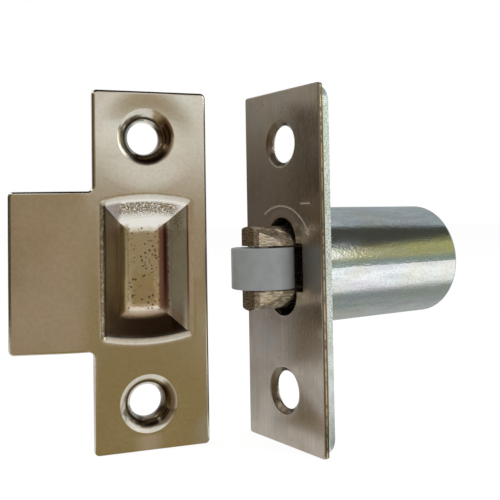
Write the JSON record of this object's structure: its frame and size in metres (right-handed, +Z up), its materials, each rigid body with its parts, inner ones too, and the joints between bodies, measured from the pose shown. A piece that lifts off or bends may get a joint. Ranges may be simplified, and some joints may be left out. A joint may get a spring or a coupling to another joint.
{
  "type": "roller catch",
  "caption": "Barrel roller catch for a door edge: screw-on forend, sprung fork with a nylon roller, and a pressed strike plate with a dish and a bent tongue.",
  "frame": {"origin": "on the barrel's axis, on the back of the forend, which seats on the door's edge", "axes": "+Y along the barrel, into the door; +Z up along the forend; X across the forend"},
  "size_m": [0.0291, 0.0717, 0.057],
  "materials": {
    "nickel_face": "nickel plate, satin, with fine scratches",
    "nickel_strike": "bright nickel plate",
    "zinc_plate": "zinc plate with a sheared edge",
    "zinc_barrel": "zinc plate, streaky",
    "cast_carrier": "nickel-flashed casting, rough",
    "steel_pin": "drawn steel",
    "spring_steel": "bright spring wire",
    "nylon": "grey nylon, satin"
  },
  "bodies": {
    "casing": {"face_plate": "nickel_face", "backing_plate": "zinc_plate", "barrel": "zinc_barrel", "spring": "spring_steel", "strike_plate": "nickel_strike"},
    "plunger": {"roller_carrier": "cast_carrier", "axle_pin": "steel_pin", "adjusting_stem": "zinc_barrel"},
    "roller": {"roller": "nylon"}
  },
  "joints": [
    {"name": "plunge", "type": "slide", "parent": "casing", "child": "plunger", "axis": [0, 1, 0], "range_m": [0, 0.0102], "stiffness_N_per_m": 1200, "springref_m": -0.006, "deforming": ["spring"]},
    {"name": "roller_spin", "type": "hinge", "parent": "plunger", "child": "roller", "pos_m": [0, -0.00585, 0], "axis": [0, 0, 1], "continuous": true}
  ]
}
